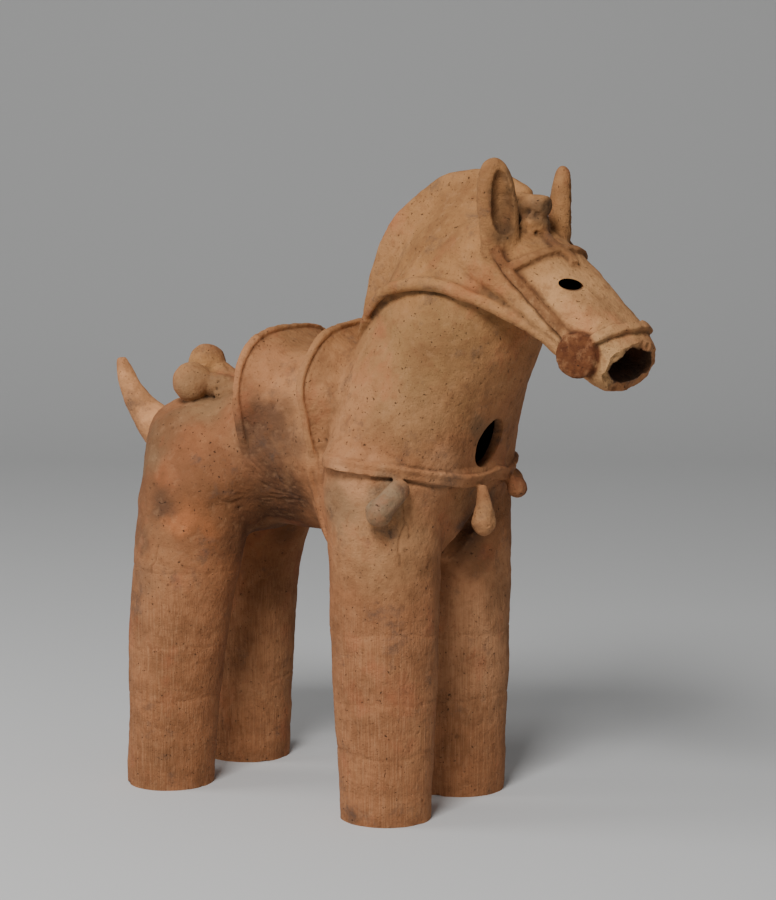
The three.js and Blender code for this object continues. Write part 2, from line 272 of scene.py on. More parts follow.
def saddle_arch(name, x, outline, steps):
    """An arch across the back; each step gives how far ahead it lies and how much smaller it is."""
    side = run_smooth(outline, 5)
    coils = []
    for ahead, less in steps:
        right = [at(x + ahead, -y * (1 - less), 500 + (z - 500) * (1 - less)) for y, z in side]
        left = [Vector((place.x, -place.y, place.z)) for place in right[-2::-1]]
        coils.append(right + left)
    return raise_form(name, coils, 0)


POMMEL_X = 72
CANTLE_X = -46
BAND = [(0, 0.012), (1, 0), (RIM - 1.5, 0), (RIM, 0.008), (RIM + 1, 0.045)]
POMMEL_SWEEP = run_smooth([(16, 0.075), (28, 0.115), (44, 0.19), (66, 0.29)], 3)
CANTLE_SWEEP = run_smooth([(15, 0.07), (26, 0.11), (44, 0.16), (70, 0.24)], 3)
POMMEL_ROOT = [(0, 0.08), (20, 0.13), (40, 0.19), (62, 0.27), (92, 0.38)]
SEAT_SWEEP = [(0, -0.05), (22, -0.03), (46, -0.01), (76, 0), (104, -0.01), (136, -0.03)]
pommel = saddle_arch("pommel", POMMEL_X, POMMEL, BAND + POMMEL_SWEEP)
cantle = saddle_arch("cantle", CANTLE_X, CANTLE, BAND + CANTLE_SWEEP)
pommel_root = saddle_arch("pommel_root", POMMEL_X + 4, POMMEL, POMMEL_ROOT)
seat = saddle_arch("seat", CANTLE_X + 2, SEAT, SEAT_SWEEP)

# ---- the head ----
# A tapering tube closed at the poll and open at the muzzle, turned a little to the horse's right. Its
# lower edge is laid over the neck as a thick lip, which shows as the line of the jaw.

HEAD_TURN = math.radians(8)
HEAD_PIVOT = 230
ALONG = Vector((math.cos(HEAD_TURN), -math.sin(HEAD_TURN), 0))
ASIDE = Vector((math.sin(HEAD_TURN), math.cos(HEAD_TURN), 0))


def on_head(x, y, z):
    """A place given on the head before it is turned."""
    return at(HEAD_PIVOT, 0, z) + ALONG * ((x - HEAD_PIVOT) * MM) + ASIDE * (y * MM)


# Sections from the poll to the muzzle: top x and z, underside x and z, half width, fullness.
HEAD = [
    (206, 790, 212, 730, 50, 2),
    (262, 822, 270, 722, 74, 2),
    (322, 834, 326, 708, 85, 2.1),
    (378, 804, 352, 690, 81, 2.4),
    (432, 766, 394, 668, 70, 2.6),
    (484, 727, 430, 640, 60, 2.5),
    (527, 689, 468, 614, 57, 2.4),
    (544, 666, 493, 604, 56, 2.3),
    (556, 652, 512, 594, 50, 2.2),
]


def head_section(place, grow=0, beads=40):
    """The outline of the head at a place counted along its sections."""
    slot = min(len(HEAD) - 2, int(place))
    part = place - slot
    row = [a + (b - a) * part for a, b in zip(HEAD[slot], HEAD[slot + 1])]
    top, under = on_head(row[0], 0, row[1]), on_head(row[2], 0, row[3])
    up = top - under
    half_up = up.length / 2 / MM + grow
    return coil((top + under) / 2, ASIDE, up.normalized(), row[4] + grow, half_up, row[5], beads)


def head_skin(place, degrees, out=0):
    """A place on the skin of the head; degrees count from the top, more on the horse's right."""
    ring = head_section(place, out, 72)
    step = (90 + degrees) / 5 % 72
    slot = int(step)
    return ring[slot].lerp(ring[(slot + 1) % 72], step - slot)


head = raise_form("head", [head_section(place) for place in range(len(HEAD))])
head_core = raise_form("head_core", [head_section(place, -4) for place in range(6)])


def roll_clay(name, route, steps=6, beads=14):
    """A string of clay along a route of (place, radius in mm)."""
    rows = run_smooth([(*place, radius) for place, radius in route], steps)
    places = [Vector(row[:3]) for row in rows]
    across = None
    coils = []
    for number, place in enumerate(places):
        along = (places[min(number + 1, len(places) - 1)] - places[max(number - 1, 0)]).normalized()
        across = along.cross(UPRIGHT) if across is None else across - along * across.dot(along)
        across.normalize()
        radius = max(rows[number][3], 0.5)
        coils.append(coil(place, across, across.cross(along), radius, radius, 2, beads))
    return raise_form(name, coils, 1)


# The jaw line from the withers to the corner of the mouth: x, y, z and the radius of the lip.
JAW = [
    (118, 62, 652, 3), (134, 74, 672, 6), (150, 84, 692, 8), (172, 94, 714, 9), (205, 103, 729, 10),
    (262, 106, 735, 10.5), (318, 99, 719, 10.5), (372, 86, 696, 10), (424, 72, 667, 9), (458, 64, 648, 7),
]


def on_jaw(side, x, out, z):
    """A place on the jaw line in mm; the left one follows the turn of the head."""
    follow = 2 * max(x - HEAD_PIVOT, 0) * math.sin(HEAD_TURN) if side > 0 else 0
    return (x, side * out - follow, z)


jaw_lips = []
lip_beds = []
for side in (-1, 1):
    lip = [(at(*on_jaw(side, x, y * 0.95 + 2, z)), r + 0.5) for x, y, z, r in JAW]
    jaw_lips.append(roll_clay("jaw_lip", lip))
    bed = [(at(*on_jaw(side, x, y * 0.9, z + 4)), r) for x, y, z, r in JAW[2:]]
    lip_beds.append(roll_clay("lip_bed", bed))

# ---- the ears ----
# Two upright leaves of clay with a deep groove pressed into each, facing forward and outward.

# How far up the ear, half its width and half its thickness, then the same for the form that cuts the groove.
EAR_LEAF = [
    (0, 22, 12), (0.16, 26, 14), (0.3, 27, 16), (0.48, 27, 17),
    (0.65, 26, 16), (0.82, 24, 14), (0.94, 17, 11), (1, 6, 4),
]
EAR_GROOVE = [(0.33, 4, 6), (0.36, 11, 13), (0.44, 16, 18), (0.6, 16.5, 18), (0.8, 13, 14), (0.92, 5, 4)]


def cut_away(form, cutter):
    """Cuts one closed form out of another and clears the cutter away."""
    finish_with(form, "BOOLEAN", object=cutter, operation="DIFFERENCE", solver="MANIFOLD")
    bpy.data.objects.remove(cutter)


def ear(side, tip_height):
    """An ear; side is 1 on the left."""
    turn = math.radians(38)
    outward = ALONG * math.cos(turn) + ASIDE * (side * math.sin(turn))
    across = UPRIGHT.cross(outward)
    base, tip = on_head(361, side * 60, 752), on_head(358, side * 74, tip_height)
    leaf = [coil(base.lerp(tip, t), across, outward, half, thick, 2.2, 24) for t, half, thick in EAR_LEAF]
    pressed = []
    for t, half, deep in EAR_GROOVE:
        middle = base.lerp(tip, t) + outward * ((19 - 7 * t) * MM) - across * (side * 3.5 * MM)
        pressed.append(coil(middle, across, outward, half, deep, 2, 20))
    grown = raise_form("ear", leaf, 2)
    cut_away(grown, raise_form("ear_groove", pressed, 2))
    return grown


ears = [ear(-1, 901), ear(1, 887)]

# ---- the mane and forelock ----
# The mane is one thick upright plate of clay, flaring smoothly into the neck. Its front end is tied in
# a short round stub over the brow, broken off flat.

CREST = [
    (84, 652), (89, 700), (97, 735), (110, 768), (128, 799), (152, 828),
    (188, 857), (222, 875), (262, 883), (300, 880), (332, 868), (354, 852),
]
MANE_HEART = (262, 745)


def mane_plate(name, half):
    """A plate under the crest; half gives how thick each side is at each depth."""
    coils = []
    for x, z in run_smooth(CREST, 3):
        inward = Vector((MANE_HEART[0] - x, 0, MANE_HEART[1] - z)).normalized()
        right = [at(x, -y, z) + inward * (deep * MM) for deep, y in half]
        left = [at(x, y, z) + inward * (deep * MM) for deep, y in reversed(half)]
        coils.append(right + left)
    return raise_form(name, coils, 1)


mane = mane_plate("mane", [(0, 3.5), (1.5, 7), (8, 10.5), (24, 15), (44, 22), (66, 33)])
mane_root = mane_plate("mane_root", [(8, 4), (18, 10), (40, 21), (62, 34), (86, 51), (110, 70)])
STUB = [(on_head(340, 0, 836), 15), (on_head(366, 0, 837), 14.5), (on_head(391, 0, 836), 14.5)]
knob = roll_clay("forelock_stub", STUB, 3, 18)


def pellet(name, middle, size, squash=(1, 1, 1)):
    """A ball of clay rolled in the palm. The size is its radius in mm."""
    bpy.ops.object.select_all(action="DESELECT")
    bpy.ops.mesh.primitive_ico_sphere_add(subdivisions=4, radius=size * MM, location=middle)
    ball = bpy.context.object
    ball.name = name
    bpy.ops.object.mode_set(mode="EDIT")
    bpy.ops.mesh.select_all(action="SELECT")
    bpy.ops.transform.resize(value=squash, center_override=middle)
    bpy.ops.object.mode_set(mode="OBJECT")
    bpy.ops.object.transform_apply(location=True, rotation=True, scale=True)
    return ball


def uneven(form, name, width, height):
    """Gives the skin a soft unevenness of a width and height in mm."""
    lumps = bpy.data.textures.new(name, "CLOUDS")
    lumps.noise_scale = width * MM
    lumps.noise_depth = 1
    rise = {"strength": height * MM, "mid_level": 0.5}
    finish_with(form, "DISPLACE", texture=lumps, texture_coords="LOCAL", **rise)


brow = [
    pellet("brow", on_head(343, 0, 823), 29, (1, 0.85, 1)),
    pellet("brow", on_head(368, 0, 810), 21, (1, 1.2, 1)),
    pellet("brow", at(348, -8, 824), 26),
]
for lump in brow:
    uneven(lump, "torn_brow", 7, 5)

# ---- the bridle ----
# Flat strips of clay laid on the head and painted with red ochre: cheekpieces, browband, noseband,
# and a tongue down the forehead, with a round cheek plate at each corner of the mouth.

STRIP = 14
STRIP_OUT = 6


def strip(name, route, width=STRIP, out=STRIP_OUT):
    """A flat strip through places on the head given as (place along it, degrees from the top)."""
    rows = run_smooth(route, 6)
    coils = []
    for number, (place, degrees) in enumerate(rows):
        here = head_skin(place, degrees)
        ahead = head_skin(*rows[min(number + 1, len(rows) - 1)])
        behind = head_skin(*rows[max(number - 1, 0)])
        along = (ahead - behind).normalized()
        outward = (head_skin(place, degrees, 10) - here).normalized()
        across = along.cross(outward).normalized()
        wobble = 1 + 0.07 * math.sin(number * 0.9)
        edge = [(-0.44, -5), (-0.52, out * 0.6), (-0.44, out), (0.44, out), (0.52, out * 0.6), (0.44, -5)]
        coils.append([here + across * (a * width * wobble * MM) + outward * (o * MM) for a, o in edge])
    return raise_form(name, coils, 0)


def over_the_top(side, middle):
    """A route over the head: one side, its middle and the other side mirrored."""
    return [*side, middle, *((place, -degrees) for place, degrees in reversed(side))]


CHEEKPIECE = [(2.85, 64), (3.15, 72), (3.4, 77), (3.7, 80), (4.1, 84), (4.75, 88), (5.35, 90), (5.6, 90)]
BROWBAND = over_the_top([(3.35, 68), (3.5, 54), (3.6, 34), (3.65, 14)], (3.65, 0))
NOSEBAND = over_the_top([(5.9, 84), (5.9, 68), (6.0, 46), (6.1, 22)], (6.15, 0))
TONGUE = [(3.05, 0), (3.4, 2), (3.7, 2), (3.9, 0), (4.1, 2)]
bridle = [
    strip("browband", BROWBAND, STRIP - 2),
    strip("noseband", NOSEBAND, STRIP, STRIP_OUT + 1),
    strip("forehead_tongue", TONGUE, STRIP - 3, STRIP_OUT + 1),
]
for side in (1, -1):
    route = [(place, degrees * side) for place, degrees in CHEEKPIECE]
    bridle.append(strip("cheekpiece", route, STRIP - 2, STRIP_OUT + 1))


def cheek_plate(side):
    """A round plate of clay pressed on the side of the muzzle; side is 1 on the horse's right."""
    middle = head_skin(5.8, 98 * side, -2)
    outward = (-ASIDE * side + ALONG * 0.14).normalized()
    across = outward.cross(UPRIGHT).normalized()
    up = across.cross(outward)
    rows = [(-12, 28), (5, 30.5), (9.5, 30), (11, 28.5), (11.6, 20), (12, 7)]
    coils = [coil(middle + outward * (out * MM), across, up, r, r, 2, 32) for out, r in rows]
    return raise_form("cheek_plate", coils, 1)


bridle += [cheek_plate(1), cheek_plate(-1)]
# How much of the red ochre is left on each kind of piece.
OCHRE_LEFT = {"cheek_plate": 1, "cheekpiece": 0.7, "noseband": 0.15, "browband": 0.4, "forehead_tongue": 0.4}
painted = []
for piece in bridle:
    reddened = OCHRE_LEFT[piece.name.split(".")[0]]
    painted.append((BVHTree.FromObject(piece, bpy.context.evaluated_depsgraph_get()), reddened))

# ---- the breast strap and its bells ----
# A flat-faced ledge of clay runs round the breast from one foot of the pommel to the other. It dips in
# front. Small pellets hang under it on short stalks as harness bells.

STRAP_LOW = 466
STRAP_REAR = 60
# The face of the strap in section: height and distance from the breast.
STRAP_FACE = [(-2, -9), (-0.5, 4), (1, 8.5), (8, 7), (13.5, 9), (16.5, 8), (18, 4), (26, -1.5), (38, -8)]
# How far the strap rises or dips at each bearing from straight ahead, in degrees.
STRAP_DIP = {-100: 21, -70: 14, -50: 2, -25: -10, -5: -12, 15: -7, 32: -14, 60: -4, 100: 12}


def strap_coil(height, out):
    """One outline of the strap, round the neck at a height and a distance from the breast."""
    front, half = 275 + height * 0.33 + out, 169 - height * 0.14 + out
    middle = at((STRAP_REAR + front) / 2, 0, STRAP_LOW + height)
    outline = coil(middle, FORWARD, LEFTWARD, (front - STRAP_REAR) / 2, half, 2.3, 96)
    for place in outline:
        bearing = math.degrees(math.atan2(place.y, place.x - at(170, 0, 0).x))
        place.z += np.interp(bearing, list(STRAP_DIP), list(STRAP_DIP.values())) * MM
        back = place.x / MM + FEET_TO_MIDDLE
        place.y *= np.interp(back, [86, 100, 120, 140], [0.81, 0.875, 0.96, 1])
        place.z -= max(height, 0) * np.interp(back, [90, 150], [0.45, 0]) * MM
    return outline


strap = raise_form("breast_strap", [strap_coil(height, out) for height, out in STRAP_FACE], 0)
bpy.ops.object.mode_set(mode="EDIT")
bpy.ops.mesh.select_all(action="SELECT")
bpy.ops.mesh.bisect(plane_co=at(86, 0, 480), plane_no=(1, 0, 0), clear_inner=True, use_fill=True)
bpy.ops.object.mode_set(mode="OBJECT")

# Each bell is a stalk bent over and the ball it ends in: places and radii.
BELLS = [
    [((238, -146, 466), 15), ((241, -163, 461), 16), ((236, -174, 452), 16), ((228, -176, 441), 17.5)],
    [
        ((284, -16, 456), 8), ((289, -19, 445), 9.5), ((292, -21, 432), 12),
        ((293, -23, 417), 15.5), ((292, -23, 400), 12),
    ],
    [((258, 70, 456), 8), ((272, 77, 452), 9), ((282, 82, 446), 12)],
    [((226, 150, 448), 8), ((230, 166, 444), 9), ((228, 172, 438), 12)],
]
BALLS = [((223, -177, 436), 20), ((292, -23, 407), 18), ((284, 82, 441), 15.5), ((226, 170, 430), 17)]
bells = []
for stalk, (hang, size) in zip(BELLS, BALLS):
    bells.append(roll_clay("bell_stalk", [(at(*place), radius) for place, radius in stalk], 4))
    bells.append(pellet("chest_bell", at(*hang), size, (0.94, 0.94, 1)))
    uneven(bells[-1], "rolled_clay", 16, 1.2)

# ---- the croup bells and tail ----
# Two larger balls sit on the croup in a rough mass of clay torn from the back of the cantle. The tail
# is a tapering cone of clay, curved up to a rounded tip.

near_ball, far_ball = at(-172, -52, 571), at(-180, -4, 593)
croup = [pellet("croup_bell", near_ball, 29), pellet("croup_bell", far_ball, 27)]
for ball in croup:
    uneven(ball, "rolled_clay", 22, 1.5)
TORN = [
    [(near_ball, 14), (at(-142, -36, 566), 18), (at(-112, -27, 553), 24), (at(-76, -20, 540), 30)],
    [(far_ball, 16), (at(-152, -8, 577), 19), (at(-124, -12, 558), 22), (at(-88, -14, 542), 26)],
]
for route in TORN:
    croup.append(roll_clay("torn_clay", route, 4, 24))
    uneven(croup[-1], "torn", 9, 6)

TAIL = [
    ((-205, 0, 462), 48), ((-228, 0, 471), 42), ((-254, 0, 485), 35), ((-277, 0, 500), 29),
    ((-300, 0, 521), 21.5), ((-317, 0, 542), 16.5), ((-327, 0, 562), 13.5), ((-334, 0, 580), 10.5),
    ((-337, 0, 592), 6.5),
]
tail = roll_clay("tail", [(at(*place), radius) for place, radius in TAIL], 3, 20)

# ---- pressing it all together ----
# Everything is one body of clay. The big forms are rubbed over hard; the rims, straps, ears and bells
# are added on top and keep their edges.


def press_together(name, forms, grain, strokes):
    """Presses clay forms into one body and rubs over the joints. The grain is in mm."""
    bpy.ops.object.select_all(action="DESELECT")
    for form in forms:
        form.select_set(True)
    bpy.context.view_layer.objects.active = forms[0]
    bpy.ops.object.join()
    pressed = bpy.context.object
    pressed.name = name
    finish_with(pressed, "REMESH", mode="VOXEL", voxel_size=grain * MM, use_smooth_shade=True)
    if strokes:
        finish_with(pressed, "SMOOTH", factor=0.5, iterations=strokes)
    return pressed


rubbed = [chest, hindquarters, trunk, *webs, *legs, seat, pommel_root, head_core, mane_root, *lip_beds]
body = press_together("rubbed_body", rubbed, 4, 30)

# A rough hollow between the front legs, where clay was torn away as the legs were joined on: z, near y,
# far y, back x.
TORN_RECESS = [
    (444, 22, 32, 266),
    (428, 20, 42, 248),
    (408, 8, 44, 230),
    (390, -8, 40, 214),
    (372, -22, 34, 206),
    (354, -28, 30, 202),
    (320, -26, 28, 200),
]
RECESS_FRONT = 320
torn = []
for z, near, far, back in TORN_RECESS:
    middle = at((back + RECESS_FRONT) / 2, (near + far) / 2, z)
    torn.append(coil(middle, FORWARD, LEFTWARD, (RECESS_FRONT - back) / 2, (far - near) / 2, 3.6, 48))
recess = raise_form("torn_recess", torn, 2)
uneven(recess, "torn_edge", 13, 7)
cut_away(body, recess)

applied = [pommel, cantle, head, *jaw_lips, *ears, mane, knob, *brow, *bridle, strap, *bells, *croup, tail]
body = press_together("terracotta_horse", [body, *applied], 1.9, 2)
uneven(body, "palm_strokes", 70, 5)
uneven(body, "finger_strokes", 22, 1.6)
uneven(body, "coil_steps", 11, 0.7)

bpy.ops.object.mode_set(mode="EDIT")
bpy.ops.mesh.select_all(action="SELECT")
bpy.ops.mesh.bisect(plane_co=(0, 0, 0), plane_no=(0, 0, 1), clear_inner=True, use_fill=True)
bpy.ops.object.mode_set(mode="OBJECT")

# ---- marks in the clay ----
# Finger and tool marks rake up the flank from the arch of the belly, drying cracks run down from the
# bells, and grit has dropped out everywhere and left small pits. The feet are chipped.

random.seed(6)
noise.seed_set(6)
skin_of_clay = BVHTree.FromObject(body, bpy.context.evaluated_depsgraph_get())


def along_skin(places):
    """Places given in mm from the middle of the feet, moved onto the skin."""
    return [skin_of_clay.find_nearest(at(*place))[0] for place in places]


def press_marks(form, routes):
    """Presses a blunt point along each route of (places, half width, depth); a depth below 0 is a ridge."""
    mesh = form.data
    spots = np.empty(len(mesh.vertices) * 3, np.float32)
    facing = np.empty(len(mesh.vertices) * 3, np.float32)
    mesh.vertices.foreach_get("co", spots)
    mesh.vertex_normals.foreach_get("vector", facing)
    spots, facing = spots.reshape(-1, 3), facing.reshape(-1, 3)
    for route, width, depth in routes:
        route = np.array(route, np.float32)
        reach = 2.5 * width * MM
        near = np.flatnonzero(((spots > route.min(0) - reach) & (spots < route.max(0) + reach)).all(1))
        away = np.full(len(near), 9.0)
        for start, end in zip(route, route[1:]):
            line = end - start
            share = np.clip(((spots[near] - start) @ line) / max(line @ line, 1e-12), 0, 1)
            away = np.minimum(away, np.linalg.norm(spots[near] - start - share[:, None] * line, axis=1))
        spots[near] -= facing[near] * (depth * MM * np.exp(-((away / (width * MM)) ** 2)))[:, None]
    mesh.vertices.foreach_set("co", spots.ravel())
    mesh.update()


# Finger marks raked over the flank from the arch of the belly.
marks = []
for number in range(95):
    aim = math.radians(random.uniform(-30, 58))
    start, reach = random.uniform(4, 70), random.uniform(50, 120)
    x, z = 72 + random.uniform(-12, 6), 420 + random.uniform(-14, 14)
    places = []
    for step in range(6):
        far = start + reach * step / 5
        bend = aim + 0.0025 * far
        places.append((x - far * math.cos(bend), -118, z + far * math.sin(bend)))
    marks.append((along_skin(places), random.uniform(1.2, 2.0), random.uniform(0.3, 1.0)))
# Furrows with ridges between them, drawn down from the flank into the front leg.
for lean, depth in ((0, 1.8), (9, -1.6), (17, 1.4), (27, -1.0)):
    places = [(58 + lean, -124, 468), (62 + lean, -126, 446), (70 + lean, -122, 420)]
    places += [(80 + lean, -112, 392), (88 + lean * 0.7, -112, 356)]
    marks.append((along_skin(places), 3.4, depth))
# Drying cracks below the first bell, beside the breast bell and on the hind leg.
CRACKS = [
    [(241, -146, 448), (244, -143, 426), (241, -147, 402), (238, -151, 378), (240, -150, 362)],
    [(244, -143, 426), (249, -138, 410), (250, -140, 396)],
    [(292, -40, 432), (285, -38, 424), (276, -42, 414)],
    [(-150, -150, 350), (-158, -152, 330), (-163, -152, 312)],
    [(226, -171, 418), (236, -160, 410)],
]
for places in CRACKS:
    ragged = []
    for place in run_smooth(places, 3):
        ragged.append(tuple(value + random.uniform(-2.5, 2.5) for value in place))
    marks.append((along_skin(ragged), 1.5, 1.9))
# Pits where grit has dropped out, anywhere on the skin.
low_corner, high_corner = (np.array(corner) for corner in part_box("horse_body"))
for number in range(380):
    place = Vector([random.uniform(a, b) for a, b in zip(low_corner, high_corner)])
    pit = skin_of_clay.find_nearest(place)[0]
    drift = Vector([random.uniform(-1, 1) * MM for axis in range(3)])
    marks.append(([pit, pit + drift], random.uniform(1.3, 2.6), random.uniform(0.8, 2.2)))
# The rough clay beside the forelock stub.
for number in range(80):
    place = on_head(random.uniform(338, 378), random.uniform(-50, -4), random.uniform(798, 832))
    torn = skin_of_clay.find_nearest(place)[0]
    marks.append(([torn, torn + UPRIGHT * (2 * MM)], random.uniform(1.8, 3.2), random.uniform(1, 2.4)))
# Chips round the feet.
for number in range(18):
    fore, side = random.choice(CORNERS)
    turn = random.uniform(0, 2 * math.pi)
    x = fore * LEG_SPACING_X / 2 + 64 * math.cos(turn)
    y = side * LEG_SPACING_Y / 2 + 64 * math.sin(turn)
    chip = [at(x, y, 0), at(x, y, 0) + UPRIGHT * (random.uniform(1, 7) * MM)]
    marks.append((chip, random.uniform(4, 8), random.uniform(1, 2.6)))
# The rough clay behind the croup bells.
for number in range(50):
    place = at(random.uniform(-142, -66), random.uniform(-56, 20), random.uniform(560, 600))
    torn = skin_of_clay.find_nearest(place)[0]
    marks.append(([torn, torn + UPRIGHT * (2 * MM)], random.uniform(1.6, 3), random.uniform(1.2, 2.6)))
# The joints between the coils of clay still show as faint rings on the legs.
for (fore, side), heights in zip(CORNERS, ((168, 96, 262), (140, 232), (316, 205, 128), (250, 120))):
    for z in heights:
        ring = []
        for step in range(25):
            turn = step * math.pi / 12
            x = fore * LEG_SPACING_X / 2 + 8 + 88 * math.cos(turn)
            y = side * LEG_SPACING_Y / 2 + 88 * math.sin(turn)
            ring.append((x, y, z + 3 * math.sin(3 * turn + z) + random.uniform(-1, 1)))
        marks.append((along_skin(ring), 1.8, 0.9))
# A shallow valley runs between the mane and the cheek, with a few deeper pits in the mane above it.
marks.append((along_skin([(140, -90, 744), (172, -100, 778), (220, -104, 803), (285, -104, 822)]), 9, 3.2))
for place in ((158, -60, 801), (167, -62, 796), (146, -62, 782), (186, -60, 818)):
    marks.append((along_skin([place, place]), 3, 3))
# A point was run along the inner line of each saddle rim, the edges of the strap and the jaw lip.
for x, outline in ((POMMEL_X, POMMEL), (CANTLE_X, CANTLE)):
    for side in (-1, 1):
        line = []
        for y, z in run_smooth(outline, 3):
            line.append((x + RIM + 2.5, side * y * 0.965, 500 + (z - 500) * 0.965))
        marks.append((along_skin(line), 1.7, 1.7))
for height, width, depth in ((19, 1.6, 1.2), (-3, 3, 2.0)):
    line = [spot / MM + Vector((FEET_TO_MIDDLE, 0, 0)) for spot in strap_coil(height, 3)]
    marks.append((along_skin([spot for spot in line[-30:] + line[:31] if spot.x > 96]), width, depth))
for side in (-1, 1):
    for lift, width, depth in ((-1, 2.6, 3), (1, 6, 2.4)):
        line = []
        for x, y, z, r in run_smooth(JAW[2:], 3):
            line.append(on_jaw(side, x, y * 0.98, z + lift * (r + 1 + width / 2)))
        marks.append((along_skin(line), width, depth))
press_marks(body, marks)
FACES = 78000
finish_with(body, "DECIMATE", ratio=min(1, FACES / len(body.data.polygons)))

# ---- the hollow ----
# The figure is empty: the wall is about as thick as a finger, the legs are open at the foot and the
# muzzle is open and broken, with an eye hole on each side and a round hole in the breast.

# Low in the chest the hollow keeps behind the torn recess, and in the rump it starts above the arch.
inside_chest = []
for z, rear, front, half, full in CHEST_AND_NECK[2:12]:
    inside_chest.append((z, rear, front - 46 if z < 450 else front, half, full))
inside_rump = [(z + 14 if z < 380 else z, *row) for z, *row in HINDQUARTERS[2:8]]
inside = [
    raise_form("inside_chest", level_coils(inside_chest, WALL)),
    raise_form("inside_hindquarters", level_coils(inside_rump, WALL)),
    raise_form("inside_trunk", upright_coils(TRUNK, WALL)),
]
inside += [raise_form("inside_leg", leg_coils(fore, side, WALL, -60)) for fore, side in CORNERS]
head_hollow = [head_section(place, -WALL + (4 if place > 5 else 0)) for place in range(1, len(HEAD))]
for ring, squash in zip(head_hollow[4:], (0.9, 0.8, 0.74, 0.72)):
    ceiling = max(spot.z for spot in ring) + 2 * MM
    for spot in ring:
        spot.z = ceiling + (spot.z - ceiling) * squash
head_hollow.append([spot + (ALONG * 24 - UPRIGHT * 18) * MM for spot in head_hollow[-1]])
inside.append(raise_form("inside_head", head_hollow))
hollow = press_together("hollow", inside, 5, 8)
uneven(hollow, "inside_strokes", 30, 3)
finish_with(hollow, "DECIMATE", ratio=0.25)
skin_of_hollow = BVHTree.FromObject(hollow, bpy.context.evaluated_depsgraph_get())
cut_away(body, hollow)

lip_top, lip_low = on_head(541, 0, 667), on_head(509, 0, 597)
up_lips = (lip_top - lip_low).normalized()
past_lips = ASIDE.cross(up_lips)
if past_lips.dot(ALONG) < 0:
    past_lips = -past_lips
mouth = (lip_top + lip_low) / 2
lost = [coil(mouth + past_lips * (past * MM), ASIDE, up_lips, 85, 75) for past in (0, 60)]
broken = press_together("broken_end", [raise_form("broken_end", lost, 0)], 3, 1)
uneven(broken, "broken_edge", 18, 12)
uneven(broken, "broken_grain", 7, 4)
cut_away(body, broken)


def hole(name, middle, through, across, half_across, half_up, length):
    """A hole pushed through the wall with a stick."""
    up = across.cross(through).normalized()
    rows = []
    for share in (-0.5, 0, 0.5):
        rows.append(coil(middle + through * (share * length * MM), across, up, half_across, half_up, 2, 32))
    return raise_form(name, rows, 1)


for side, place, degrees in ((1, 4.55, 31), (-1, 4.4, -46)):
    face = head_skin(place, degrees)
    turn = math.radians(48) * side
    through = (ALONG * math.cos(turn) - ASIDE * math.sin(turn)).normalized()
    across = (UPRIGHT.cross(through) - UPRIGHT * 0.2).normalized()
    cut_away(body, hole("eye", face, through, across, 17, 7.5, 110))
cut_away(body, hole("breast_hole", at(280, -6, 514), FORWARD, LEFTWARD, 31, 35, 110))

bpy.ops.object.select_all(action="DESELECT")
body.select_set(True)
bpy.context.view_layer.objects.active = body
bpy.ops.object.shade_smooth_by_angle(angle=math.radians(50))

# ---- the fired clay ----
# Terracotta: iron-bearing clay fired at a low heat and never glazed. It is quite matt, orange-brown
# with paler, pinker and greyer drifts from the fire, and its skin is grainy and lightly combed. Red
# ochre is left on the bridle. Painted shade darkens what is sunk, the belly, the torn recess and the
# ear grooves, and a painted highlight lightens what stands proud.


def shade(hexcode):
    """An sRGB colour as linear red, green, blue and alpha."""
    parts = [int(hexcode[i : i + 2], 16) / 255 for i in (0, 2, 4)]
    return [p / 12.92 if p <= 0.04045 else ((p + 0.055) / 1.055) ** 2.4 for p in parts] + [1]


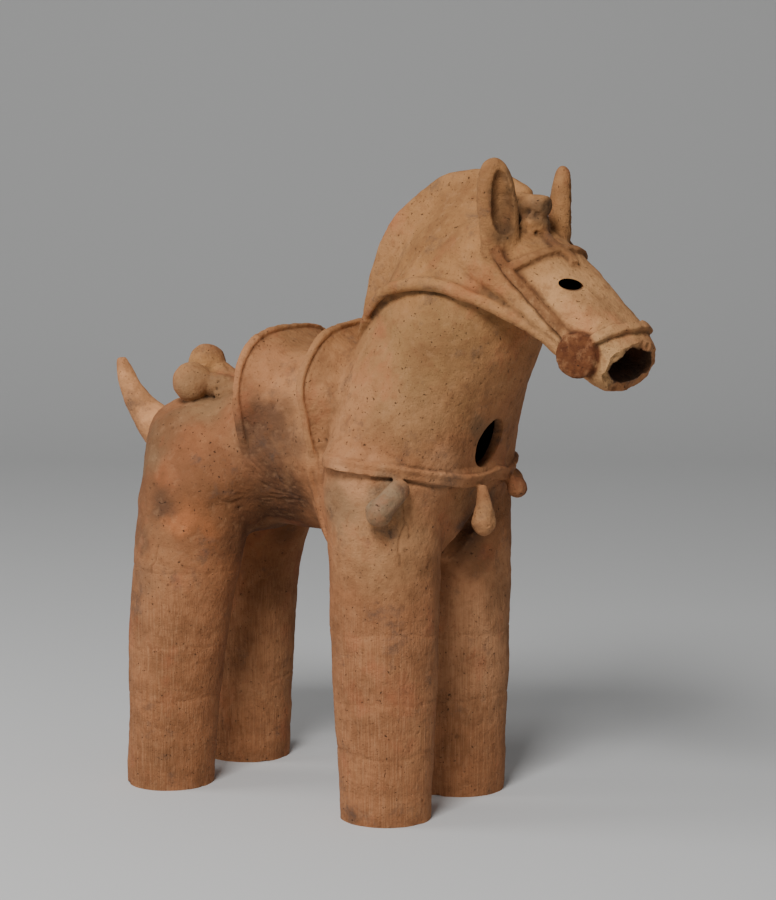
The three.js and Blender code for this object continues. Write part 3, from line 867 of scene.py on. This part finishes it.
# Drifts of colour, laid one over another: the middle and the reach in mm, the colour and its strength.
DRIFTS = [
    ((60, 0, 1000), 620, "a07248", 1.0),  # the whole front end, paler than the legs
    ((-150, -130, 450), 165, "744a2e", 0.85),
    ((-200, -110, 485), 60, "84684a", 0.7),
    ((-143, -90, 534), 60, "86694a", 0.7),
    ((-69, -112, 476), 44, "6a5138", 0.7),
    ((-115, -120, 504), 46, "b06a42", 0.8),
    ((-150, -140, 452), 36, "ab613a", 0.7),
    ((-105, -150, 391), 46, "ac683e", 0.8),
    ((-151, -150, 414), 34, "4a3526", 0.8),
    ((-184, -150, 366), 32, "4a3628", 0.8),
    ((-184, -150, 298), 34, "4f3b2c", 0.8),
    ((330, -60, 780), 190, "a27347", 0.9),
    ((470, -60, 700), 125, "c08f5f", 0.9),
    ((520, -90, 650), 56, "b98f60", 0.7),
    ((240, -80, 640), 130, "8f6a42", 0.8),
    ((240, -140, 560), 80, "94704a", 0.5),
    ((170, -90, 800), 130, "9f7043", 0.7),
    ((-40, -120, 590), 120, "b27a52", 0.8),
    ((90, -140, 560), 110, "b07e55", 0.7),
    ((-90, -130, 500), 130, "8a5838", 0.8),
    ((-130, -60, 560), 70, "8c6a48", 0.8),
    ((0, -110, 518), 76, "5f422f", 0.85),
    # Painted shade: the arch and underside of the belly, darkened where they face down.
    ((10, -100, 425), 84, "432817", 0.9),
    ((-40, 0, 380), 120, "3c2416", 0.9),
    ((-60, -90, 370), 70, "5a3822", 0.7),
    ((-210, -160, 400), 70, "85583a", 0.6),
    ((-240, -110, 560), 60, "93754f", 0.6),
    ((-300, 0, 540), 90, "cf9464", 0.95),
    ((-175, -30, 585), 48, "b08050", 0.9),
    ((215, -160, 400), 110, "ab7d55", 0.8),
    ((150, -170, 430), 60, "86684a", 0.7),
    ((228, -178, 448), 42, "877056", 0.95),
    ((290, -30, 420), 40, "ab7d54", 0.9),
    # Painted shade in the torn recess between the front legs.
    ((264, 28, 400), 58, "3c2517", 0.9),
    ((250, 22, 350), 56, "432a1a", 0.85),
    ((284, 84, 444), 26, "7a4a30", 0.8),
    ((180, -160, 480), 44, "bd8a62", 0.6),
    ((268, -90, 474), 50, "bd8a62", 0.6),
    ((352, -26, 828), 26, "5e4228", 0.8),
    ((255, -20, 460), 60, "a87850", 0.6),
    ((200, -160, 200), 150, "a06c48", 0.6),
    ((200, 130, 230), 190, "b07e58", 0.85),
    ((-190, -160, 250), 130, "a06e4a", 0.6),
    ((-120, 90, 180), 170, "a87650", 0.75),
    ((382, -20, 832), 30, "5e4630", 0.9),
    ((366, -20, 806), 26, "70502f", 0.8),
    # Painted shade in the grooves of the two ears.
    ((362, -92, 812), 30, "4a331f", 0.8),
    ((362, -96, 838), 30, "4a331f", 0.85),
    ((362, -98, 862), 26, "54402b", 0.8),
    ((388, 52, 836), 18, "54402b", 0.7),
    ((290, -40, 540), 34, "65523c", 0.6),
]


def paint_clay(form):
    """Gives each point of the skin its drift of colour, its share of ochre and how sunk it lies, for painted
    shade and highlight.
    """
    mesh = form.data
    count = len(mesh.vertices)
    spots = np.empty(count * 3, np.float32)
    facing = np.empty(count * 3, np.float32)
    mesh.vertices.foreach_get("co", spots)
    mesh.vertex_normals.foreach_get("vector", facing)
    spots, facing = spots.reshape(-1, 3), facing.reshape(-1, 3)
    wander = []
    for spot in spots:
        wander.append(noise.noise_vector(Vector(spot) * 24) * 22 + noise.noise_vector(Vector(spot) * 75) * 9)
    places = spots / MM + np.array([FEET_TO_MIDDLE, 0, 0]) + np.array(wander)
    colour = np.tile(np.array(shade("a06a45")), (count, 1))
    for middle, reach, hexcode, strength in DRIFTS:
        near = np.clip(1.6 * (1 - np.linalg.norm(places - np.array(middle), axis=1) / reach), 0, 1)
        share = (strength * near * near * (3 - 2 * near))[:, None]
        colour = colour * (1 - share) + np.array(shade(hexcode)) * share
    ochre = np.zeros(count)
    for number in np.flatnonzero((places[:, 0] > 330) & (places[:, 2] > 560)):
        spot = Vector(spots[number])
        for tree, reddened in painted:
            gap = tree.find_nearest(spot, 0.008)[3]
            if gap is not None:
                ochre[number] = max(ochre[number], reddened * min(1, max(0, (5.5 - gap / MM) / 3.5)))
    # A point is sunk where its edges rise from it on the whole, and stands proud where they fall.
    ends = np.empty(len(mesh.edges) * 2, np.int32)
    mesh.edges.foreach_get("vertices", ends)
    ends = ends.reshape(-1, 2)
    neighbours = np.bincount(ends.ravel(), minlength=count).clip(1)
    hollow_by = np.zeros(count)
    for one, other in ((0, 1), (1, 0)):
        span = spots[ends[:, other]] - spots[ends[:, one]]
        length = np.linalg.norm(span, axis=1).clip(1e-6)
        bend = np.einsum("ij,ij->i", span, facing[ends[:, one]]) / length
        hollow_by += np.bincount(ends[:, one], bend, minlength=count)
    hollow_by /= neighbours
    for rub in range(3):
        around = np.bincount(ends[:, 0], hollow_by[ends[:, 1]], count)
        around += np.bincount(ends[:, 1], hollow_by[ends[:, 0]], count)
        hollow_by = 0.4 * hollow_by + 0.6 * around / neighbours
    # The inside of the wall is dark.
    for number, spot in enumerate(spots):
        if skin_of_hollow.find_nearest(Vector(spot), 0.0012)[0] is not None:
            colour[number] = shade("4a3224")
    layer = mesh.color_attributes.new("drifts", "FLOAT_COLOR", "POINT")
    layer.data.foreach_set("color", colour.astype(np.float32).ravel())
    # The hollow attribute carries painted shade into what is sunk and a painted highlight onto what stands
    # proud.
    for title, values in (("ochre", ochre), ("hollow", hollow_by)):
        mesh.attributes.new(title, "FLOAT", "POINT").data.foreach_set("value", values.astype(np.float32))


paint_clay(body)


terracotta = bpy.data.materials.new("fired_terracotta")
terracotta.use_nodes = True
tree = terracotta.node_tree
skin = tree.nodes["Principled BSDF"]


def lay(kind, inputs, output=0, **settings):
    """Adds a node with its settings and gives one output; an input is a value or another output."""
    made = tree.nodes.new(kind)
    for setting, value in settings.items():
        setattr(made, setting, value)
    for place, value in inputs.items():
        if isinstance(value, bpy.types.NodeSocket):
            tree.links.new(value, made.inputs[place])
        else:
            made.inputs[place].default_value = value
    return made.outputs[output]


where = lay("ShaderNodeTexCoord", {}, "Object")
drifts = lay("ShaderNodeAttribute", {}, "Color", attribute_name="drifts")
ochre = lay("ShaderNodeAttribute", {}, "Fac", attribute_name="ochre")
# How sunk each point lies, used for painted shade in creases and a painted highlight on proud edges.
crease_shade_and_edge_light = lay("ShaderNodeAttribute", {}, "Fac", attribute_name="hollow")
height = lay("ShaderNodeSeparateXYZ", {"Vector": where}, "Z")
legs_only = lay("ShaderNodeMapRange", {0: height, 1: 0.34, 2: 0.25, 3: 0.0, 4: 1.0})

# Each pattern: its lumps' size in mm, detail, roughness, and how it is drawn out along the axes. The grain
# and the comb are really finer than a millimetre and are drawn as coarse as they need to be to show.
PATTERNS = {
    "cloud": (90, 5.0, 0.6, (1, 1, 1)),
    "mottle": (14, 5.0, 0.6, (1, 1, 1)),
    "grain": (2.2, 3.0, 0.6, (1, 1, 1)),
    "comb": (1.7, 2.0, 0.5, (1, 1, 0.02)),
    "soot": (60, 7.0, 0.72, (1, 1, 1)),
    "flush": (75, 5.0, 0.6, (1, 1, 0.8)),
    "ochre_wear": (9, 4.0, 0.6, (1, 1, 1)),
    "grit": (5, 3.0, 0.6, (1, 1, 1)),
    "fine_grit": (2.4, 2.0, 0.6, (1, 1, 1)),
    "pale_grit": (5, 2.0, 0.6, (1, 1, 1)),
    "wiping": (5, 4.0, 0.6, (0.3, 1, 0.6)),
}
pattern = {}
for name, (size, detail, roughness, drawn_out) in PATTERNS.items():
    place = lay("ShaderNodeVectorMath", {0: where, 1: drawn_out}, operation="MULTIPLY")
    inputs = {"Vector": place, "Scale": 1000 / size, "Detail": detail, "Roughness": roughness}
    pattern[name] = lay("ShaderNodeTexNoise", inputs)
pits = lay("ShaderNodeMapRange", {0: pattern["grit"], 1: 0.67, 2: 0.72, 3: 0.0, 4: 1.0})
fine_pits = lay("ShaderNodeMapRange", {0: pattern["fine_grit"], 1: 0.69, 2: 0.74, 3: 0.0, 4: 1.0})
worn = lay("ShaderNodeMapRange", {0: pattern["ochre_wear"], 1: 0.35, 2: 0.7, 3: 0.0, 4: 1.0})
worn_red = lay("ShaderNodeMix", {0: worn, 6: shade("552c16"), 7: shade("704224")}, 2, data_type="RGBA")

# Washes over the drifts: what varies it, where it starts, where it is full, its strength, its colour, and
# what it is kept to.
WASHES = [
    (pattern["cloud"], 0.5, 0.72, 0.4, shade("b68459"), None),
    (pattern["cloud"], 0.5, 0.3, 0.65, shade("70492b"), None),
    (pattern["mottle"], 0.52, 0.72, 0.5, shade("7c4f31"), None),
    (pattern["mottle"], 0.45, 0.3, 0.16, shade("c0926a"), None),
    (pattern["comb"], 0.5, 0.65, 0.28, shade("b88864"), legs_only),
    (pattern["comb"], 0.5, 0.35, 0.3, shade("7a4e32"), legs_only),
    (pattern["soot"], 0.57, 0.72, 0.75, shade("54443a"), None),
    (pattern["flush"], 0.56, 0.7, 0.4, shade("a85c3c"), None),
    (pattern["mottle"], 0.12, 0.5, 1.0, worn_red, ochre),
    # Painted shade in what is sunk, then a painted highlight on what stands proud.
    (crease_shade_and_edge_light, 0.02, 0.2, 0.85, shade("2c1c12"), None),
    (crease_shade_and_edge_light, -0.1, -0.34, 0.32, shade("c49668"), None),
    (pits, 0.0, 1.0, 0.75, shade("3a2618"), None),
    (fine_pits, 0.0, 1.0, 0.6, shade("4a3220"), None),
    (pattern["pale_grit"], 0.27, 0.23, 0.2, shade("cfa67c"), None),
]
colour = drifts
for value, starts, full, strength, wash, kept_to in WASHES:
    share = lay("ShaderNodeMapRange", {0: value, 1: starts, 2: full, 3: 0.0, 4: strength})
    if kept_to is not None:
        share = lay("ShaderNodeMath", {0: share, 1: kept_to}, operation="MULTIPLY")
    colour = lay("ShaderNodeMix", {0: share, 6: colour, 7: wash}, 2, data_type="RGBA")
tree.links.new(colour, skin.inputs["Base Color"])
matt = lay("ShaderNodeMapRange", {0: pattern["mottle"], 3: 0.8, 4: 0.98})
tree.links.new(matt, skin.inputs["Roughness"])
skin.inputs["IOR"].default_value = 1.45
skin.inputs["Specular IOR Level"].default_value = 0.3

# What stands up from the skin and what lies below it: its weight and what it is kept to.
bands = {"Vector": where, "Scale": 7.0, "Distortion": 3.0, "Detail": 2.0}
coil_bands = lay("ShaderNodeTexWave", bands, 1, bands_direction="Z")
RELIEF = [
    (pattern["grain"], 0.5, None),
    (pattern["mottle"], 2.2, None),
    (pattern["comb"], 0.7, legs_only),
    (pattern["wiping"], 0.9, None),
    (coil_bands, 0.9, legs_only),
    (pits, -1.6, None),
    (fine_pits, -0.6, None),
]
raised = 0.0
for value, weight, kept_to in RELIEF:
    if kept_to is not None:
        value = lay("ShaderNodeMath", {0: value, 1: kept_to}, operation="MULTIPLY")
    raised = lay("ShaderNodeMath", {0: value, 1: weight, 2: raised}, operation="MULTIPLY_ADD")
bump = lay("ShaderNodeBump", {"Height": raised, "Distance": 0.0014, "Strength": 1.0})
tree.links.new(bump, skin.inputs["Normal"])
body.data.materials.clear()
body.data.materials.append(terracotta)
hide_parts("horse_body")
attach(body, "root")

# ---- the floor, the light and the camera ----
# A pale paper sweep runs under the horse and up behind it. One soft light stands high on the left and a
# weaker one lower down, further to the left.

VIEW_BACK = Vector((-0.538, 0.843, 0))
VIEW_RIGHT = Vector((0.843, 0.538, 0))
SWEEP_REACH = 9


def sweep_edge(out, up):
    """One edge of the paper, out behind the horse and up."""
    return [VIEW_RIGHT * side + VIEW_BACK * out + UPRIGHT * up for side in (-SWEEP_REACH, SWEEP_REACH)]


bpy.ops.object.select_all(action="DESELECT")
bpy.ops.mesh.primitive_plane_add(size=1, location=(0, 0, 0))
floor = bpy.context.object
floor.name = "floor"
SWEEP_STARTS = 3.2
SWEEP_RADIUS = 1.6
profile = [(-SWEEP_REACH, 0), (SWEEP_STARTS, 0)]
for step in range(1, 11):
    turn = step * math.pi / 20
    out = SWEEP_STARTS + SWEEP_RADIUS * math.sin(turn)
    profile.append((out, SWEEP_RADIUS - SWEEP_RADIUS * math.cos(turn)))
profile.append((SWEEP_STARTS + SWEEP_RADIUS, 7))
bpy.ops.object.mode_set(mode="EDIT")
bpy.ops.mesh.delete(type="VERT")
paper_mesh = bmesh.from_edit_mesh(floor.data)
rows = [[paper_mesh.verts.new(place) for place in sweep_edge(out, up)] for out, up in profile]
for (a, b), (c, d) in zip(rows, rows[1:]):
    paper_mesh.faces.new((a, b, d, c)).smooth = True
bmesh.update_edit_mesh(floor.data)
bpy.ops.object.mode_set(mode="OBJECT")
paper = bpy.data.materials.new("pale_paper")
paper.use_nodes = True
paper.node_tree.nodes["Principled BSDF"].inputs["Base Color"].default_value = shade("c9c9c8")
paper.node_tree.nodes["Principled BSDF"].inputs["Roughness"].default_value = 0.9
# From behind, the camera looks through the paper, so that it never hides the horse.
tree = paper.node_tree
back = lay("ShaderNodeNewGeometry", {}, "Backfacing")
seen = lay("ShaderNodeLightPath", {}, "Is Camera Ray")
behind = lay("ShaderNodeMath", {0: back, 1: seen}, operation="MULTIPLY")
clear = lay("ShaderNodeBsdfTransparent", {})
either = lay("ShaderNodeMixShader", {0: behind, 1: tree.nodes["Principled BSDF"].outputs[0], 2: clear})
tree.links.new(either, tree.nodes["Material Output"].inputs["Surface"])
floor.data.materials.append(paper)


def soft_light(name, place, aim, size, watts):
    """A square softbox aimed at a point."""
    box = bpy.data.lights.new(name, "AREA")
    box.shape = "SQUARE"
    box.size = size
    box.energy = watts
    lamp = bpy.data.objects.new(name, box)
    lamp.location = place
    lamp.rotation_euler = (Vector(aim) - Vector(place)).to_track_quat("-Z", "Y").to_euler()
    bpy.context.scene.collection.objects.link(lamp)


soft_light("key", (0.9, -3.0, 3.5), (0, 0, 0.5), 1.3, 185)
soft_light("side", (-2.6, -1.9, 1.7), (0, 0, 0.5), 1.6, 46)
room = bpy.data.worlds.new("room")
room.use_nodes = True
room.node_tree.nodes["Background"].inputs["Color"].default_value = shade("d8dadc")
room.node_tree.nodes["Background"].inputs["Strength"].default_value = 0.3
bpy.context.scene.world = room

long_lens = bpy.data.cameras.new("camera")
long_lens.lens = 120.88
long_lens.sensor_width = 36
camera = bpy.data.objects.new("camera", long_lens)
camera.location = (2.2502, -3.4849, 1.0853)
aim = Vector((-0.2016, 0.3515, 0.430))
camera.rotation_euler = (aim - camera.location).to_track_quat("-Z", "Y").to_euler()
bpy.context.scene.collection.objects.link(camera)
bpy.context.scene.camera = camera
